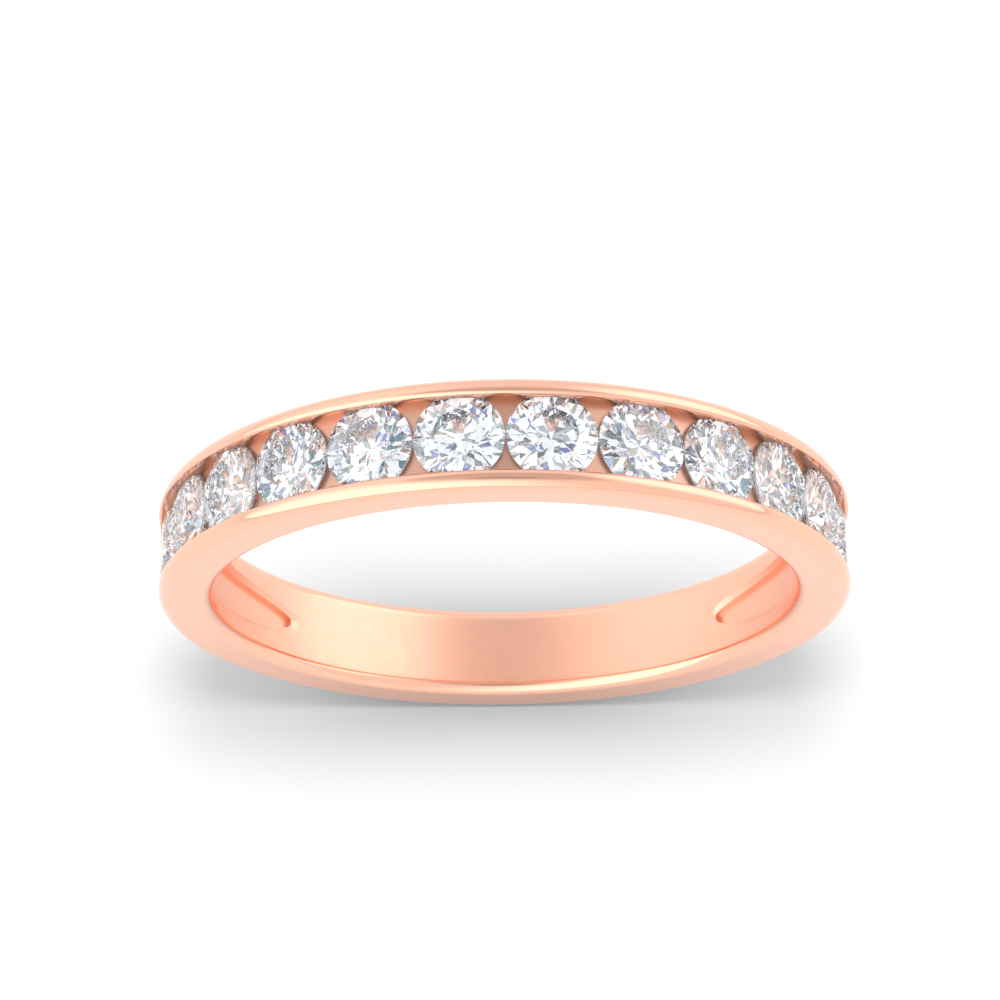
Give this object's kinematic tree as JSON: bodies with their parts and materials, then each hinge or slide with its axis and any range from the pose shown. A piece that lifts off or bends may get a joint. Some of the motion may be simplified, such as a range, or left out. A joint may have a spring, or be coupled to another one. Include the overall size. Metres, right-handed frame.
{
  "type": "channel-set wedding band",
  "caption": "Half-eternity wedding band: a tapering polished rose gold ring with a row of round brilliants set in a channel across the top.",
  "frame": {"origin": "centre of the finger hole", "axes": "+Y along the finger hole, +Z from the finger towards the middle of the row of stones, +X along the row at the top"},
  "size_m": [0.0206, 0.0034, 0.0206],
  "materials": {
    "rose_gold": "polished rose gold",
    "diamond": "clear, faceted, polished"
  },
  "bodies": {
    "root": {"channel_band": "rose_gold", "diamond_01": "diamond", "diamond_02": "diamond", "diamond_03": "diamond", "diamond_04": "diamond", "diamond_05": "diamond", "diamond_06": "diamond", "diamond_07": "diamond", "diamond_08": "diamond", "diamond_09": "diamond", "diamond_10": "diamond", "diamond_11": "diamond", "diamond_12": "diamond"}
  },
  "joints": []
}
